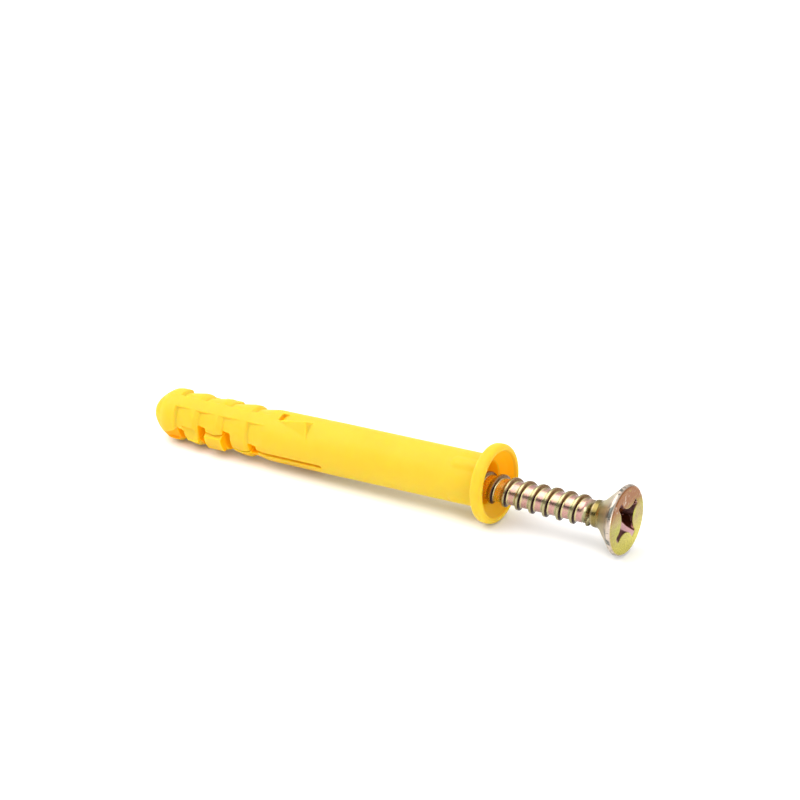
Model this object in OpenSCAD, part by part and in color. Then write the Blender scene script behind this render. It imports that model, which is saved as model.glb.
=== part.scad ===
// Plastic expansion anchor: a collared sleeve with a countersunk screw pushed part of the way in.
// The pair lies on a surface, along X, with the screw head towards +X. Units are millimetres.
// Inside the sleeve, depths are measured from its mouth towards its nose, along the sleeve's axis.

/* [Sleeve] */
// Length of the sleeve, from its mouth to the tip of its nose
sleeve_length = 60; // [52:1:75]
// Diameter of the barrel, the size of the drilled hole
barrel_d = 8; // [7.8:0.1:9]
// Diameter of the collar
collar_d = 11.9; // [11.2:0.1:14]
// Thickness of the collar
collar_thickness = 2; // [1.6:0.1:2.6]
// Rounding of the collar's outer edges
collar_edge_r = 0.7; // [0.4:0.05:0.75]
// Diameter of the mouth at the collar's face
mouth_d = 9.9; // [9:0.1:10.3]
// Rounding of the lip between the collar's face and the mouth
lip_r = 0.35; // [0.2:0.05:0.45]

/* [Bore] */
// Diameter of the wide bore where the mouth's taper ends
bore_top_d = 6.5; // [6.3:0.05:6.8]
// Diameter of the wide bore at its deep end
bore_end_d = 5.2; // [5.1:0.05:5.6]
// Depth at which the mouth's taper reaches the wide bore
funnel_depth = 2.2; // [1.8:0.1:2.8]
// Length from the nose to the place where the wide bore starts to narrow
expansion_length = 25.8; // [23:0.2:28]
// Length of the taper between the wide and the narrow bore
bore_taper = 6.3; // [6:0.1:8]
// Diameter of the narrow bore
narrow_bore_d = 2; // [1.6:0.1:2.6]
// Thickness of the closed nose, ahead of the narrow bore
nose_wall = 2.4; // [1.8:0.1:3]

/* [Teeth] */
// Number of saw teeth along the front of the sleeve
tooth_count = 4; // [3:1:5]
// Distance from one tooth to the next
tooth_pitch = 4.3; // [3.8:0.1:4.6]
// Distance from the nose to the steep face of the foremost tooth
nose_length = 5.6; // [5:0.1:6.5]
// Length of the level land on top of each tooth
tooth_land = 1.4; // [1:0.1:1.8]
// Depth of the pocket at a tooth's steep face
tooth_depth = 0.5; // [0.3:0.05:0.7]
// How far the tops of the teeth stand above the barrel
tooth_rise = 0; // [0:0.02:0.3]
// Length of the rounded part of the nose
dome_length = 3.5; // [3:0.1:4.4]
// Width of the plain spine near each fin's line, between the pockets
spine_width = 2.05; // [1.6:0.05:2.8]
// Angle from a fin's line to the middle of the spine
spine_turn = 4; // [0:0.5:8]

/* [Slits] */
// Distance from the nose to the round end of the straight slits
slit_reach = 31.4; // [30:0.2:34]
// Width of the straight slits
slit_width = 0.65; // [0.4:0.05:0.9]
// Width of the slit round the interlocking tongues
tongue_gap = 0.4; // [0.3:0.05:0.6]
// How far the upper half's tongues reach past the slit's line
tongue_low = 1; // [0.7:0.05:1.2]
// How far the lower half's tongues reach past the slit's line
tongue_high = 1.55; // [1.2:0.05:1.8]
// Length of the open cavity behind each tooth's steep face
cavity_length = 1.4; // [1.1:0.1:1.7]
// How far the cavities and the nose's groove reach below the slit's line
cavity_low = 1.5; // [1.2:0.05:1.7]
// How far the cavities at the two ends of the row of tongues reach above the slit's line
cavity_high = 0.9; // [0.6:0.05:1.2]
// How far the cavities between two tongues reach above the slit's line
cavity_top = 2; // [1.8:0.05:2.2]
// How far the second tongue from the nose stands proud of the teeth
tongue_rise = 0.2; // [0.1:0.05:0.3]
// Slope of the first tongue's flat top, measured round the barrel from the slit's line
flat_turn = 20.5; // [15:0.5:26]
// How far the middle of that flat top lies below the tops of the teeth
flat_drop = 0.19; // [0.1:0.01:0.3]
// Width of the flat top above its middle
flat_width = 0.35; // [0.1:0.05:0.6]
// Width of the groove that runs over the nose in line with each slit
nose_groove = 2; // [1.7:0.1:2.3]
// Depth of the groove over the nose
nose_groove_depth = 0.7; // [0.5:0.1:1]

/* [Fins] */
// Distance from the nose to the free end of the anti-rotation fins
fin_reach = 29; // [27.6:0.1:29.5]
// Length of the fins
fin_length = 6.1; // [5:0.1:7]
// Height of a fin's free end above the barrel
fin_height = 1.2; // [0.8:0.05:1.3]
// How far the top of a fin's free end is set back from the end's foot
fin_setback = 0.8; // [0.4:0.1:1.2]
// Angle of a fin's steep side, measured round the barrel from its ridge
fin_back_angle = 15; // [8:1:18]
// Length of the notch beside a fin's root
notch_length = 1.8; // [1.4:0.1:2.2]
// Width of the notch beside a fin's root, measured round the barrel in degrees
notch_angle = 22; // [16:1:26]
// Diameter of the short ribs under the collar
rib_d = 2.4; // [2:0.1:2.8]
// Height of those ribs above the barrel
rib_rise = 0.28; // [0.15:0.01:0.35]
// Depth at which those ribs start
rib_depth = 6; // [5:0.1:8]
// Angle from a slit's line to the nearest rib
rib_turn = 5; // [0:1:8]

/* [Screw] */
// Length of the screw, from its face to its tip
screw_length = 60; // [56:1:66]
// Diameter over the thread
thread_d = 4.62; // [4.4:0.02:4.7]
// Diameter of the core under the thread
core_d = 3.66; // [3.4:0.02:3.8]
// Pitch of the thread
thread_pitch = 2.25; // [2:0.05:2.5]
// Length of the pointed tip
tip_length = 5.5; // [5:0.1:6.5]
// Diameter of the head
head_d = 10.5; // [9.6:0.1:11]
// Height of the straight band round the head
head_band = 0.7; // [0.5:0.05:0.9]
// Rounding between the head's face and its band
head_edge_r = 0.45; // [0.3:0.05:0.5]
// Diameter of the neck between the head's cone and the thread
neck_d = 4.1; // [3.95:0.05:4.3]
// Distance from the head's face to the end of the neck
neck_end = 5; // [4.7:0.1:5.6]
// Distance across the cross recess, from wing tip to wing tip
recess_span = 7.4; // [6.4:0.1:7.8]
// Width of the recess's wings
wing_width = 1.1; // [0.9:0.05:1.4]
// Radius of the curves that join one wing to the next
blend_r = 2.6; // [2.2:0.1:3]
// Depth of the cross recess
recess_depth = 3; // [2.4:0.1:3.3]

/* [Lie] */
// Clearance between the screw and what it lies on, the bore or the surface below
rest_gap = 0.1; // [0.05:0.01:0.2]
// Angle of the upper fin above the horizontal, seen from the head
fin_roll = 62.5; // [45:0.5:70]
// Turn of the cross recess about the screw
recess_roll = 55; // [0:1:90]
// Distance from the screw's point to the end of the bore's taper
tip_clearance = 1.2; // [0.9:0.1:1.7]

/* [Hidden] */
$fn = 72;
plastic = [1, 0.86, 0.2];
zinc = [0.82, 0.74, 0.45];

barrel_r = barrel_d / 2;
collar_r = collar_d / 2;
mouth_r = mouth_d / 2;
tooth_r = barrel_r + tooth_rise;
thread_r = thread_d / 2;
core_r = core_d / 2;
head_r = head_d / 2;
neck_r = neck_d / 2;

// Depths of the bore's steps
wide_bore_end = sleeve_length - expansion_length;
narrow_bore_start = wide_bore_end + bore_taper;
bore_bottom = sleeve_length - nose_wall;

// Depth of each tooth's steep face, from the foremost one back
function face_depth(i) = sleeve_length - nose_length - i * tooth_pitch;
first_ramp_depth = face_depth(tooth_count - 1) - (tooth_pitch - tooth_land);
tongue_length = tooth_pitch - cavity_length;
flat_margin = 0.2;
dome_start = sleeve_length - dome_length;
tip_flat_r = 0.2;
dome_steps = 14;

// Faces that nearly line up are set apart by this much, and cuts run past the outside by the overshoot
set_apart = 0.02;
overshoot = 1;

// Angles round the sleeve, seen from its mouth: each slit lies midway between the two fins
fin_angles = [fin_roll, fin_roll + 180];
slit_angles = [fin_roll - 90, fin_roll + 90];
fin_end_depth = sleeve_length - fin_reach;
fin_start_depth = fin_end_depth + fin_length;
fin_root_depth = 0.6;
fin_root_share = 0.9;
fin_root_r = barrel_r - fin_root_depth;
fin_foot_r = barrel_r - set_apart;
notch_turn = 4;
notch_setback = 0.1;
notch_runout = 0.1;

// Cross recess: radius of its floor, and how far the curves run into the wings
recess_floor_r = 1;
blend_overlap = 0.05;

// Radius that every cut through the wall reaches beyond
reach_r = tooth_r + fin_height;

// The sleeve rests on the back edge of its collar and on the shoulder of its nose
rest_span = dome_start - collar_thickness + collar_edge_r;
rest_drop = collar_r - collar_edge_r - tooth_r;
sleeve_tilt = atan2(-rest_span, rest_drop) + acos(-collar_edge_r / norm([rest_span, rest_drop]));
mouth_height = (collar_thickness - collar_edge_r) * sin(sleeve_tilt)
    + (collar_r - collar_edge_r) * cos(sleeve_tilt) + collar_edge_r;

// The screw is pushed in until its point stands in the taper of the bore. It leans down from there
// until it lies on the bore's lower side, or its head lies on the surface below
screw_inside = narrow_bore_start - tip_clearance;
screw_outside = screw_length - screw_inside;
drop_in_bore = (bore_top_d / 2 - thread_r - rest_gap) / (1 - funnel_depth / screw_inside);
drop_to_surface = (mouth_height + screw_outside * sin(sleeve_tilt) - head_r - rest_gap)
    / (1 + screw_outside / screw_inside);
screw_drop = min(drop_in_bore, drop_to_surface);
screw_lean = atan(screw_drop / screw_inside);
head_reach = screw_length - screw_inside / cos(screw_lean);

// The origin is below the middle of the whole length
nose_x = -sleeve_length * cos(sleeve_tilt)
    - pow(tooth_r * sin(sleeve_tilt), 2) / (4 * dome_length * cos(sleeve_tilt));
screw_tilt = sleeve_tilt - screw_lean;
head_x = screw_drop * sin(sleeve_tilt) + (head_reach - head_edge_r) * cos(screw_tilt)
    + (head_r - head_edge_r) * abs(sin(screw_tilt)) + head_edge_r;
mouth_x = -(nose_x + head_x) / 2;

// Thread: each turn of the profile runs from the root up one flank, over the crest and down the other
thread_sides = 20;
thread_start = 0.35;
thread_offsets = [0, 0.27, 0.71, 0.98];
thread_crest = [0, 1, 1, 0];
thread_step = thread_pitch / thread_sides;
thread_base = thread_offsets[3];
tip_blunt_r = 0.12;
tip_crest = 0.35;

// The thread fades out to this much of its height inside the neck
runout_length = 2.2;
runout_crest = 0.08;
neck_overlap = 0.35;
neck_chamfer = (neck_r - core_r) / 2;
thread_top = screw_length - neck_end + neck_overlap;
thread_steps = floor((thread_top - neck_overlap / 4 - thread_start - thread_base) / thread_step);

// Turns what follows from depths along Z into the lie of the sleeve
module lie_of_sleeve() {
    translate([mouth_x, 0, mouth_height])
        rotate([0, -sleeve_tilt, 0])
            rotate([90, 0, -90])
                children();
}

// Collar with rounded outer edges, and the barrel with its teeth and its nose, as one turned form
module sleeve_outline() {
    rounded_r = collar_r - collar_edge_r;
    rotate_extrude() {
        square([rounded_r, collar_thickness]);
        translate([0, collar_edge_r])
            square([collar_r, collar_thickness - 2 * collar_edge_r]);
        for (y = [collar_edge_r, collar_thickness - collar_edge_r])
            translate([rounded_r, y])
                circle(r = collar_edge_r);
        polygon(concat(
            [[0, collar_thickness / 2], [barrel_r, collar_thickness / 2], [barrel_r, first_ramp_depth]],
            [for (i = [tooth_count - 1 : -1 : 0]) each tooth_profile(i)],
            [for (i = [dome_steps : -1 : 1]) dome_point(i / dome_steps)],
            [[tip_flat_r, sleeve_length], [0, sleeve_length]]
        ));
    }
}

// Profile of one tooth: the foot and the top of its steep face, and the end of its level land
function tooth_profile(i) = [
    [tooth_r - tooth_depth, face_depth(i)],
    [tooth_r, face_depth(i)],
    if (i > 0) [tooth_r, face_depth(i) + tooth_land]
];

// Point on the rounded nose, at a share of its largest radius
function dome_point(share) = [tooth_r * share, sleeve_length - dome_length * share * share];

// Plain spines on the fins' lines, where the two halves of the mould met
module spines() {
    spine_start = first_ramp_depth - tooth_land / 2;
    spine_length = dome_start - spine_start - set_apart;
    intersection() {
        translate([0, 0, spine_start])
            cylinder(r = tooth_r - 1.5 * set_apart, h = spine_length);
        for (a = fin_angles)
            rotate(a - spine_turn)
                translate([0, -spine_width / 2, spine_start])
                    cube([reach_r, spine_width, spine_length]);
    }
}

// One anti-rotation fin: it rises from the barrel to its ridge and ends free, towards the mouth
module fin() {
    ridge_r = barrel_r + fin_height;
    tangent_angle = acos(barrel_r / ridge_r);
    foot_x = fin_foot_r * cos(tangent_angle);
    setback_rate = fin_setback / (ridge_r - foot_x);
    ends = [
        fin_root_r * [cos(tangent_angle), -sin(tangent_angle)],
        fin_foot_r * [cos(tangent_angle), -sin(tangent_angle)],
        [ridge_r, 0],
        fin_foot_r * [cos(fin_back_angle), sin(fin_back_angle)],
        fin_root_r * [cos(fin_back_angle), sin(fin_back_angle)]
    ];
    root_z = fin_start_depth;
    polyhedron(
        points = concat(
            [for (p = ends) [p.x, p.y, fin_end_depth + setback_rate * (p.x - foot_x)]],
            [[fin_root_r, 0, fin_end_depth + fin_length * fin_root_share], [fin_foot_r, 0, root_z]]
        ),
        faces = [
            [0, 1, 2, 3, 4],
            [0, 5, 6],
            [0, 6, 1],
            [1, 6, 2],
            [2, 6, 3],
            [3, 6, 5],
            [3, 5, 4],
            [4, 5, 0]
        ]
    );
}

// Notch beside the root of a fin, deepest at its steep face
module fin_notch() {
    rotate(notch_angle / 2 + notch_turn)
        translate([barrel_r, 0, fin_start_depth - notch_setback])
            rotate([90, 0, 0])
                linear_extrude(height = 2 * barrel_r * sin(notch_angle / 2), center = true)
                    polygon([
                        [-tooth_depth, 0],
                        [fin_height, 0],
                        [fin_height, -notch_length],
                        [notch_runout, -notch_length]
                    ]);
}

// Short ribs under the collar
module ribs() {
    for (k = [0 : 3])
        rotate(slit_angles[0] - rib_turn + 90 * k)
            translate([barrel_r + rib_rise - rib_d / 2, 0, 0]) {
                translate([0, 0, collar_thickness / 2])
                    cylinder(d = rib_d, h = rib_depth - collar_thickness / 2, $fn = 48);
                translate([0, 0, rib_depth])
                    sphere(d = rib_d, $fn = 48);
            }
}

// Level top of the first tongue, which starts at the slit and slopes away from it
module flat_tongue() {
    flat_r = tooth_r - flat_drop;
    intersection() {
        rotate(flat_turn)
            translate([flat_r / 2, -tooth_r, face_depth(1) + set_apart])
                cube([flat_r / 2, tooth_r + flat_width + flat_margin, tongue_length + flat_margin / 2]);
        translate([0, tongue_gap / 2 - tongue_low, face_depth(1) + set_apart])
            cube([reach_r, tooth_r, tongue_length + flat_margin]);
    }
}

// What the level top of the first tongue takes away from the rounded barrel
module flat_tongue_cut() {
    rotate(flat_turn)
        translate([tooth_r - flat_drop - set_apart, -tooth_r, face_depth(1) - flat_margin])
            cube([reach_r, tooth_r + flat_width, tongue_length]);
}

// Surface of the second tongue, which stands proud of the teeth on both sides of the slit's line
module proud_tongue() {
    intersection() {
        translate([0, 0, face_depth(2) + set_apart])
            cylinder(r = tooth_r + tongue_rise, h = tongue_length + flat_margin / 2);
        translate([0, tongue_gap / 2 - tongue_high, face_depth(2) + set_apart])
            cube([reach_r, 2 * tongue_high - tongue_gap, tongue_length + flat_margin]);
    }
}

// The gap that parts the two halves on one side: straight in the barrel, stepping round each tongue
module slit() {
    slit_end = sleeve_length - slit_reach;
    last = tooth_count - 1;
    translate([0, 0, slit_end + slit_width / 2])
        rotate([0, 90, 0])
            cylinder(d = slit_width, h = reach_r, $fn = 32);
    translate([0, -slit_width / 2, slit_end + slit_width / 2])
        cube([reach_r, slit_width, face_depth(last) - slit_end - (slit_width + cavity_length) / 2]);
    for (i = [0 : last]) {
        high = (i == 0 || i == last) ? cavity_high : cavity_top;
        translate([0, -cavity_low, face_depth(i) - cavity_length])
            cube([reach_r, cavity_low + high, cavity_length + set_apart]);
        if (i < last) {
            line = i % 2 == 0 ? -tongue_low : tongue_high;
            translate([0, line - (i % 2 == 0 ? 0 : tongue_gap), face_depth(i + 1) - set_apart])
                cube([reach_r, tongue_gap, tongue_length + 2 * set_apart]);
        }
    }
}

// Groove over the nose in line with a slit
module nose_slot() {
    groove_floor = tooth_r - nose_groove_depth;
    translate([groove_floor, set_apart - cavity_low, face_depth(0) - set_apart])
        cube([tooth_r, nose_groove, nose_length + overshoot]);
}

// Everything that is hollow inside the sleeve, turned about its axis
module bore() {
    funnel_top = mouth_r + lip_r;
    rotate_extrude()
        difference() {
            polygon([
                [0, -overshoot],
                [funnel_top, -overshoot],
                [funnel_top, lip_r],
                [mouth_r, lip_r],
                [bore_top_d / 2, funnel_depth],
                [bore_end_d / 2, wide_bore_end],
                [narrow_bore_d / 2, narrow_bore_start],
                [narrow_bore_d / 2, bore_bottom],
                [0, bore_bottom]
            ]);
            translate([funnel_top, lip_r])
                circle(r = lip_r);
        }
}

module sleeve() {
    color(plastic)
        lie_of_sleeve()
            difference() {
                union() {
                    sleeve_outline();
                    spines();
                    ribs();
                    for (a = fin_angles)
                        rotate(a)
                            fin();
                    for (a = slit_angles)
                        rotate(a) {
                            flat_tongue();
                            proud_tongue();
                        }
                }
                bore();
                for (a = fin_angles)
                    rotate(a)
                        fin_notch();
                for (a = slit_angles)
                    rotate(a) {
                        flat_tongue_cut();
                        slit();
                        nose_slot();
                    }
            }
}

// Radius of the core at a distance from the tip
function root_radius(s) = s >= tip_length ? core_r
    : tip_blunt_r + (core_r - tip_blunt_r) * sin(90 * s / tip_length);

// Height of the thread above the core at a distance from the tip, fading out at the neck
function crest_height(s) = (thread_r - core_r)
    * min(1, tip_crest + s / tip_length)
    * max(runout_crest, min(1, (thread_top - s) / runout_length));

// Point j of the profile after i steps of the helix, as a place on the screw
function thread_point(i, j) =
    let (
        s = thread_start + i * thread_step + thread_offsets[j],
        a = 360 * i / thread_sides,
        r = root_radius(s) + thread_crest[j] * crest_height(s)
    )
    [r * cos(a), r * sin(a), screw_length - s];

// Core and helical thread in one closed form, from the tip to a flat end inside the neck
module threaded_shank() {
    n = thread_steps;
    m = thread_sides;
    ring_start = 4 * (n + 1);
    tip = ring_start + m;
    points = concat(
        [for (i = [0 : n]) for (j = [0 : 3]) thread_point(i, j)],
        [for (a = [0 : 360 / m : 359]) [core_r * cos(a), core_r * sin(a), screw_length - thread_top]],
        [[0, 0, screw_length]]
    );
    function q(i, j) = 4 * i + j;
    function ring(i) = ring_start + (i % m);
    last_wedge = concat([q(m, 0)], [for (j = [3 : -1 : 0]) q(0, j)], [tip]);
    first_wedge = concat([q(n - m, 3)], [for (j = [0 : 3]) q(n, j)], [ring(n), ring(n - m + 1)]);
    faces = concat(
        [for (i = [0 : n - 1]) for (j = [0 : 2]) [q(i, j), q(i + 1, j), q(i + 1, j + 1)]],
        [for (i = [0 : n - 1]) for (j = [0 : 2]) [q(i, j), q(i + 1, j + 1), q(i, j + 1)]],
        [for (i = [0 : n - m - 1]) [q(i, 3), q(i + 1, 3), q(i + m + 1, 0)]],
        [for (i = [0 : n - m - 1]) [q(i, 3), q(i + m + 1, 0), q(i + m, 0)]],
        [for (i = [0 : m - 2]) [tip, q(i + 1, 0), q(i, 0)]],
        [for (k = [0 : len(last_wedge) - 2]) [q(m - 1, 0), last_wedge[k], last_wedge[k + 1]]],
        [for (i = [n - m + 1 : n - 1]) [q(i, 3), q(i + 1, 3), ring(i + 1)]],
        [for (i = [n - m + 1 : n - 1]) [q(i, 3), ring(i + 1), ring(i)]],
        [for (k = [0 : len(first_wedge) - 2]) [q(n - m + 1, 3), first_wedge[k + 1], first_wedge[k]]],
        [[for (k = [0 : m - 1]) ring_start + k]]
    );
    polyhedron(points = points, faces = faces);
}

// Countersunk head with its band, its cone and the neck
module head_and_neck() {
    flat_r = head_r - head_edge_r;
    cone_end = head_band + head_r - neck_r;
    rotate_extrude() {
        square([flat_r, head_edge_r + set_apart]);
        translate([flat_r, head_edge_r])
            circle(r = head_edge_r);
        polygon([
            [0, head_edge_r],
            [head_r, head_edge_r],
            [head_r, head_band],
            [neck_r, cone_end],
            [neck_r, neck_end - neck_chamfer],
            [neck_r - neck_chamfer, neck_end],
            [0, neck_end]
        ]);
    }
}

// Cross recess: two wings that cross, with curves between them, narrowing to a round floor
module cross_recess() {
    curve_place = wing_width / 2 + blend_r - blend_overlap;
    middle = 2 * (curve_place - blend_overlap);
    tall = recess_depth + 2 * overshoot;
    slope = (recess_span / 2 - recess_floor_r) / recess_depth;
    intersection() {
        union() {
            for (a = [0, 90])
                rotate(a)
                    translate([-head_r, -wing_width / 2, -overshoot])
                        cube([2 * head_r, wing_width, tall]);
            difference() {
                translate([-middle / 2, -middle / 2, -overshoot])
                    cube([middle, middle, tall]);
                for (a = [45 : 90 : 315])
                    rotate(a)
                        translate([curve_place * sqrt(2), 0, -2 * overshoot])
                            cylinder(r = blend_r, h = tall + 2 * overshoot);
            }
        }
        translate([0, 0, -overshoot / 2])
            cylinder(
                r1 = recess_span / 2 + slope * overshoot / 2,
                r2 = recess_floor_r,
                h = recess_depth + overshoot / 2
            );
    }
}

module screw() {
    color(zinc)
        lie_of_sleeve()
            translate([0, -screw_drop, 0])
                rotate([-screw_lean, 0, 0])
                    translate([0, 0, -head_reach])
                        difference() {
                            union() {
                                head_and_neck();
                                threaded_shank();
                            }
                            rotate(recess_roll)
                                cross_recess();
                        }
}

sleeve();
screw();
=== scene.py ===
import math

import bpy
import numpy as np
from mathutils import Matrix, Vector


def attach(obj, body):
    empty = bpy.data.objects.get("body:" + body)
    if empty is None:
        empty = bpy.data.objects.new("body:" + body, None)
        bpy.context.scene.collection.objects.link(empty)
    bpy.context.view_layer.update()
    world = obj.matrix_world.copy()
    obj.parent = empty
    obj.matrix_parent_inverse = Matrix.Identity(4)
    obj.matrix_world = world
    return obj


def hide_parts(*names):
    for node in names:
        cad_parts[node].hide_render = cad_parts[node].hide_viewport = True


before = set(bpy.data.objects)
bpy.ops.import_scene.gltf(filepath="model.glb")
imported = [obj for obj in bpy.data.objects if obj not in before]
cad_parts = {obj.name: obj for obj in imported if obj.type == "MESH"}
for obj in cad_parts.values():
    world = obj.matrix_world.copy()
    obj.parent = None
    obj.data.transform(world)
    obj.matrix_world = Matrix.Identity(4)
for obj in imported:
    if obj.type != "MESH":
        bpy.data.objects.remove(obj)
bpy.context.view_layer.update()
scene = bpy.context.scene
MM = 0.001

# Sizes of the sleeve, in mm. Depths run from its mouth towards its nose.
BARREL_R = 3.975
COLLAR_R = 5.95
COLLAR_THICKNESS = 2.0
COLLAR_EDGE_R = 0.7
MOUTH_R = 4.95
LIP_R = 0.35
BORE_STATIONS = [(1.2, 4.35), (2.2, 3.25), (34.2, 2.6), (40.5, 1.0), (57.6, 1.0)]
RIB_REACH = 4.28
RIB_R = 1.2
RIB_START = 1.0
RIB_END = 6.0
RIB_TURN = -5

# The row of teeth, from the nose to the collar
TOOTH_R = 3.9
TOOTH_DEPTH = 0.5
TOOTH_PITCH = 4.3
TOOTH_LAND = 1.4
FACES = [54.4, 50.38, 46.0, 41.5]
CREST_SETBACKS = [0.35, 0.85, 1.0, 0.5]
FACE_FOOT = 0.1
FACE_FOOT_HEIGHT = 0.2
DRAFT_START = 27.0
SPINE_NEAR = 1.27
SPINE_FAR = 0.75
SPINE_START = 36
SPINE_FULL = 38.6
SPINE_SINK = 0.01
SPINE_STEP = 0.1
SPINE_TO_DOME = 0.6

# The nose. Its far end lies a little higher than the barrel's axis.
DOME_LENGTH = 3.45
DOME_TIP = 59.88
DOME_SHOULDER = 0.4
DOME_START = DOME_TIP - DOME_LENGTH
NOSE_LIFT = 0.12
LIFT_START = 49.0
LIFT_LENGTH = 6.0
GROOVE_LOW = -1.6
GROOVE_HIGH = 2.0
GROOVE_REACH = 0.3
GROOVE_END = 64
GROOVE_DEPTH = 0.7
GROOVE_TOP = 0.88
GROOVE_SLOPE = 0.47

# Cavities, tongues and slit on each side
CAVITY_LENGTH = 1.4
CAVITY_LOW = 2.3
LAST_LOW = 1.0
CAVITY_HIGH = 0.95
CAVITY_TOP = 2.0
TONGUE_LOW = 0.65
TONGUE_HIGH = 1.55
TONGUE_GAP = 0.24
GAP_REACH = 0.2
TONGUE_RISE = 0.3
TONGUE_RISE_FAR = 0.1
TONGUE_HALF = 1.5
TONGUE_ROOT = 2.0
FACET_TURN = 32.5
FACET_R = 3.35
FACET_EDGE = -0.35
FACET_MIDDLE = 1.25
FACET_SLANT = 0.4
FACET_HEIGHT = 0.4
FACET_HALF = 1.1
FACET_CUT_HALF = 1.15
SLIT_END = 28.6
SLIT_WIDTH = 0.65
SLIT_TO_FACE = 0.5
SLIT_ROLL = -27.5

# Fins, and the notch behind each one
FIN_END = 31.0
FIN_LENGTH = 6.1
FIN_HEIGHT = 1.2
FIN_SETBACK = 0.8
FIN_BACK = 15.0
FIN_ROLL = 62.5
FIN_ROOT_R = 3.2
FIN_HALF = 1.5
NOTCH_START = 35.2
NOTCH_LENGTH = 1.8
NOTCH_DEPTH = 0.95
NOTCH_HALF_WIDTH = 0.85
NOTCH_CLEAR = 0.1
NOTCH_TURN = 15

# Roundings where two surfaces of the sleeve meet, in mm
FIN_EDGES = 0.14
NOTCH_EDGES = 0.15
FACET_EDGES = 0.15
FACET_ENDS = 0.25
FACET_CUT_EDGES = 0.06
TONGUE_EDGES = 0.1
TONGUE_JOIN = 0.06
CAVITY_CORNERS = 0.18
GAP_CORNERS = 0.1
GROOVE_CORNERS = 0.2
GROOVE_EDGES = 0.15
OPENING_EDGES = 0.12
SPINE_EDGES = 0.12
SPINE_JOIN = 0.1
FIN_JOIN = 0.12
RIB_JOIN = 0.25
BORE_EDGES = 0.06
HIDDEN_CUT = 0.05

# Sizes of the screw, in mm. Depths run from its head's face towards its point.
SCREW_LENGTH = 60.0
THREAD_R = 2.31
CORE_R = 1.83
PITCH = 2.25
TIP_LENGTH = 5.5
TIP_R = 0.12
THREAD_START = 0.35
THREAD_TURN = 85.0
THREAD_UNDER_NECK = 0.6
RUN_OUT = 2.2
HEAD_R = 5.25
HEAD_BAND = 0.7
HEAD_EDGE_R = 0.45
NECK_R = 2.05
NECK_END = 5.0
NECK_FILLET = 0.35
NECK_STEP = 0.25
RECESS_ROLL = 55.0
RECESS_SPAN = 7.4
RECESS_SLOPE = 0.9
RECESS_DEPTH = 3.0
WING_WIDTH = 1.1
BLEND_R = 2.6
RECESS_EDGES = 0.1
WING_END_EDGES = 0.2
RECESS_FLOOR_EDGES = 0.3
RECESS_SLOPE_SCALE = 0.74

# The thread's section as (way along the screw in mm, share of the thread's height)
THREAD_SECTION = [(0, 0), (0.07, 0.06), (0.12, 0.30), (0.18, 0.72), (0.24, 0.93), (0.30, 0.99),
                  (0.40, 1.0), (0.56, 1.0), (0.64, 0.99), (0.70, 0.93), (0.77, 0.72), (0.84, 0.30),
                  (0.91, 0.06), (1.00, 0), (1.3, 0), (1.6, 0), (1.95, 0)]
FIRST_THREAD = 0.35
RUN_OUT_END = 0.2

# Lie of the two pieces, in mm and degrees
MOUTH = (19.59171, 0.0, 5.99263)
SLEEVE_TILT = 2.02365
SCREW_LEAN = 1.29704
SCREW_DROP = 0.80
HEAD_REACH = 20.85

# Grids of the two fields in mm, triangles to keep, and steps of the thread in one turn
SLEEVE_ACROSS = (-6.25, 6.25)
COLLAR_STRETCH = (-0.4, 7.4)
BARREL_STRETCH = (7.4, 27.6)
TEETH_STRETCH = (27.6, 60.3)
HEAD_ACROSS = (-5.4, 5.4)
HEAD_STRETCH = (-0.3, 5.5)
SLEEVE_SPACING = 0.11
BARREL_SPACING = 0.8
SLEEVE_TRIANGLES = 190000
HEAD_SPACING = 0.085
HEAD_TRIANGLES = 60000
STEPS_PER_TURN = 72

# The lamps and the studio's walls are brighter by this much, and the part's base colours darker by as much.
GAIN = 1.35

# Colours of the plastic, with painted shade for its underside and its hollows, and a painted glow in the
# hollows
PLASTIC_LOW = (0.82, 0.563, 0.030)
PLASTIC_HIGH = (0.82, 0.592, 0.038)
# Painted shade: a deeper orange for surfaces from the teeth to the nose that face down
PLASTIC_UNDERSIDE_SHADE = (0.84, 0.46, 0.012)
# Painted shade for the hollows, and a deeper one for the groove's floor
PLASTIC_HOLLOW_SHADE = (1.0, 0.49, 0.0)
PLASTIC_GROOVE_SHADE = (1.0, 0.36, 0.0)
# Painted glow in the hollows, brighter in the bore near the mouth, standing in for light that comes through
# the plastic's walls
PLASTIC_GLOW = (0.18, 0.07, 0.0)
BORE_GLOW = (0.22, 0.09, 0.0)

# Where the painted shade of the hollows and of the underside starts, as (start, end) in mm, and how strong
# it is, from 0 to 1
HOLLOW_SHADE_RADII = (3.25, 3.45)
GROOVE_BED = (2.8, 2.95)
GROOVE_PAINT_END = (57.5, 57.8)
SLIT_SHARE = 0.4
NOTCH_SHARE = 0.42
LIP_SHARE = 0.45
UNDERSIDE_SHARE = 0.7
UNDERSIDE_NORMAL = (-0.1, -0.7)
UNDERSIDE_START = (27, 32)
SLIT_PAINT = (0.30, 0.36)
GAP_PAINT = (0.14, 0.2)
NOTCH_PAINT = (3.4, 3.85)
MOUTH_PAINT_START = (0.1, 0.4)
MOUTH_PAINT_END = (2.0, 2.2)
MOUTH_LOWER_WALL = (-3.6, -0.5)
BORE_GLOW_END = (2, 14)

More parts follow.
